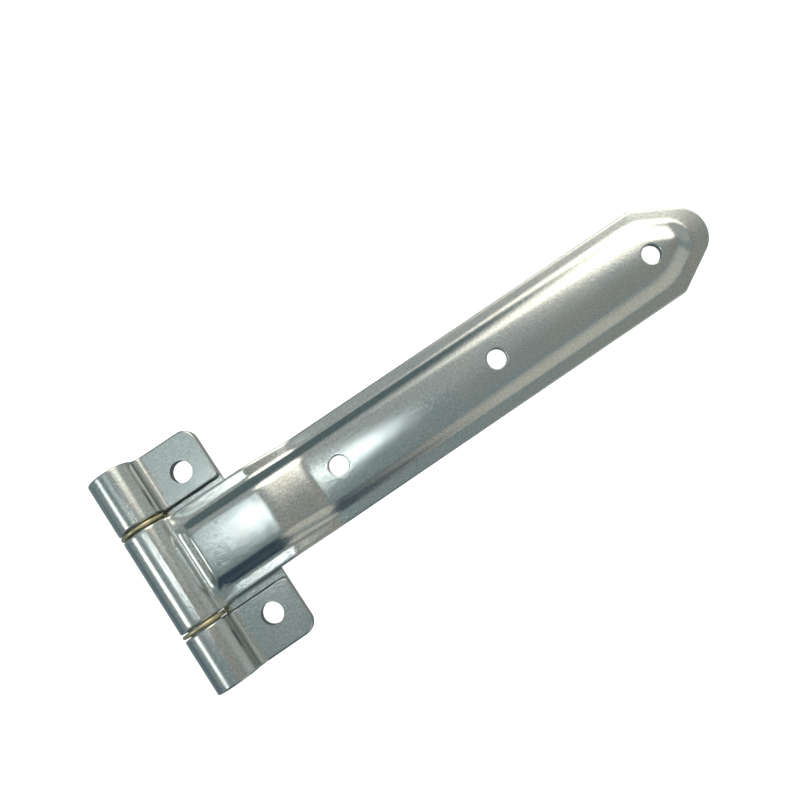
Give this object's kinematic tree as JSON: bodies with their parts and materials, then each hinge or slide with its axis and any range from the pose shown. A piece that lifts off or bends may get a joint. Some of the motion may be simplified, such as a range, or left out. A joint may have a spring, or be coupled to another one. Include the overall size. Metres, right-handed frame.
{
  "type": "t hinge",
  "caption": "Plated steel T hinge: folded bracket with bolt ears, long pressed strap with raised panel and pointed tip, pin and spacer washers.",
  "frame": {"origin": "middle of the two bracket bolt holes, on the bracket's mounting face", "axes": "+X along the strap to its tip, +Y along the hinge pin, +Z away from the mounting face"},
  "size_m": [0.28, 0.1, 0.02],
  "materials": {
    "zinc_plated_steel": "bright zinc plated, blue-grey passivated, semi-gloss",
    "zinc_plated_steel_strap": "bright zinc plated, semi-gloss",
    "plain_steel": "drawn bar, semi-gloss",
    "brass": "turned, satin"
  },
  "bodies": {
    "bracket_side": {"bracket": "zinc_plated_steel", "hinge_pin": "plain_steel", "washer_upper": "brass", "washer_lower": "brass"},
    "strap_side": {"strap": "zinc_plated_steel_strap"}
  },
  "joints": [
    {"name": "strap_turn", "type": "hinge", "parent": "bracket_side", "child": "strap_side", "pos_m": [-0.0245, 0, 0.01], "axis": [0, -1, 0], "range_deg": [0, 270]}
  ]
}
